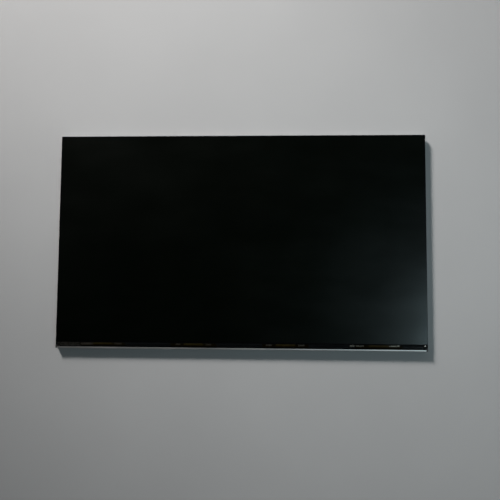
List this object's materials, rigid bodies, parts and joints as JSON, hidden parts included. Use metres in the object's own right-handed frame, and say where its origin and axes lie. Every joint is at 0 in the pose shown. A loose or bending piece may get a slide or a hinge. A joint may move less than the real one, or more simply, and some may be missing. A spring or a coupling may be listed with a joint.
{
  "type": "lcd panel module",
  "caption": "Bare flat display module lying face up: matt black screen, thin glass ledge with amber driver films, bright folded cover along its lower edge and a pressed steel back.",
  "frame": {"origin": "on the plane that the module rests on, under the middle of its outline", "axes": "+X to the picture's right, +Y to the picture's top, +Z out of the screen"},
  "size_m": [0.5332, 0.3114, 0.0106],
  "materials": {
    "polarizer_film": "anti-glare black film",
    "cell_glass": "dark thin glass",
    "frame_plastic": "fine matt black",
    "cell_tape": "black tape",
    "optical_film": "translucent film",
    "light_guide_acrylic": "polished clear",
    "reflector_film": "matt white",
    "guide_rubber": "white rubber",
    "guide_foam": "black foam",
    "rear_steel": "zinc-coated sheet",
    "cover_steel": "bright sheet",
    "driver_film": "amber film with copper traces",
    "chip_black": "moulded black",
    "silver_paste": "dull silver",
    "board_green": "solder mask",
    "board_sheet": "black sheet",
    "liner_black": "dead matt black sheet",
    "light_bar": "white-faced metal board",
    "lamp_yellow": "yellow window",
    "bar_tape": "pale grey tape",
    "flex_orange": "orange film",
    "socket_ivory": "moulded ivory",
    "socket_shell": "bright tin",
    "contact_gold": "gold plate",
    "inductor_grey": "grey ferrite",
    "capacitor_tan": "ceramic",
    "resistor_black": "ceramic",
    "gasket_cloth": "metal-coated cloth",
    "screw_steel": "bright zinc"
  },
  "bodies": {
    "root": {"front_polarizer": "polarizer_film", "rear_polarizer": "polarizer_film", "color_filter_glass": "cell_glass", "tft_glass": "cell_glass", "mid_frame": "frame_plastic", "cell_tape_top": "cell_tape", "cell_tape_bottom": "cell_tape", "cell_tape_left": "cell_tape", "cell_tape_right": "cell_tape", "upper_diffuser": "optical_film", "prism_sheet": "optical_film", "lower_diffuser": "optical_film", "light_guide": "light_guide_acrylic", "reflector": "reflector_film", "light_guide_stop_left": "guide_rubber", "light_guide_stop_right": "guide_rubber", "light_guide_pad_left": "guide_foam", "light_guide_pad_right": "guide_foam", "rear_cover": "rear_steel", "bottom_cover": "cover_steel", "cof_film_1": "driver_film", "cof_film_2": "driver_film", "cof_film_3": "driver_film", "cof_film_4": "driver_film", "driver_chip_1": "chip_black", "driver_chip_2": "chip_black", "driver_chip_3": "chip_black", "driver_chip_4": "chip_black", "timing_controller": "chip_black", "power_chip": "chip_black", "gamma_chip": "chip_black", "memory_chip": "chip_black", "ground_dot_left": "silver_paste", "ground_dot_right": "silver_paste", "driver_board": "board_green", "board_insulator": "board_sheet", "cover_liner": "liner_black", "led_board": "light_bar", "led_packages": "lamp_yellow", "led_thermal_tape": "bar_tape", "led_flex": "flex_orange", "video_socket_housing": "socket_ivory", "backlight_socket_housing": "socket_ivory", "led_flex_socket": "socket_ivory", "video_socket_shell": "socket_shell", "video_socket_contacts": "contact_gold", "backlight_socket_pins": "contact_gold", "power_inductors": "inductor_grey", "chip_capacitors": "capacitor_tan", "chip_resistors": "resistor_black", "cover_gaskets": "gasket_cloth", "cover_screws": "screw_steel", "board_screws": "screw_steel"}
  },
  "joints": []
}
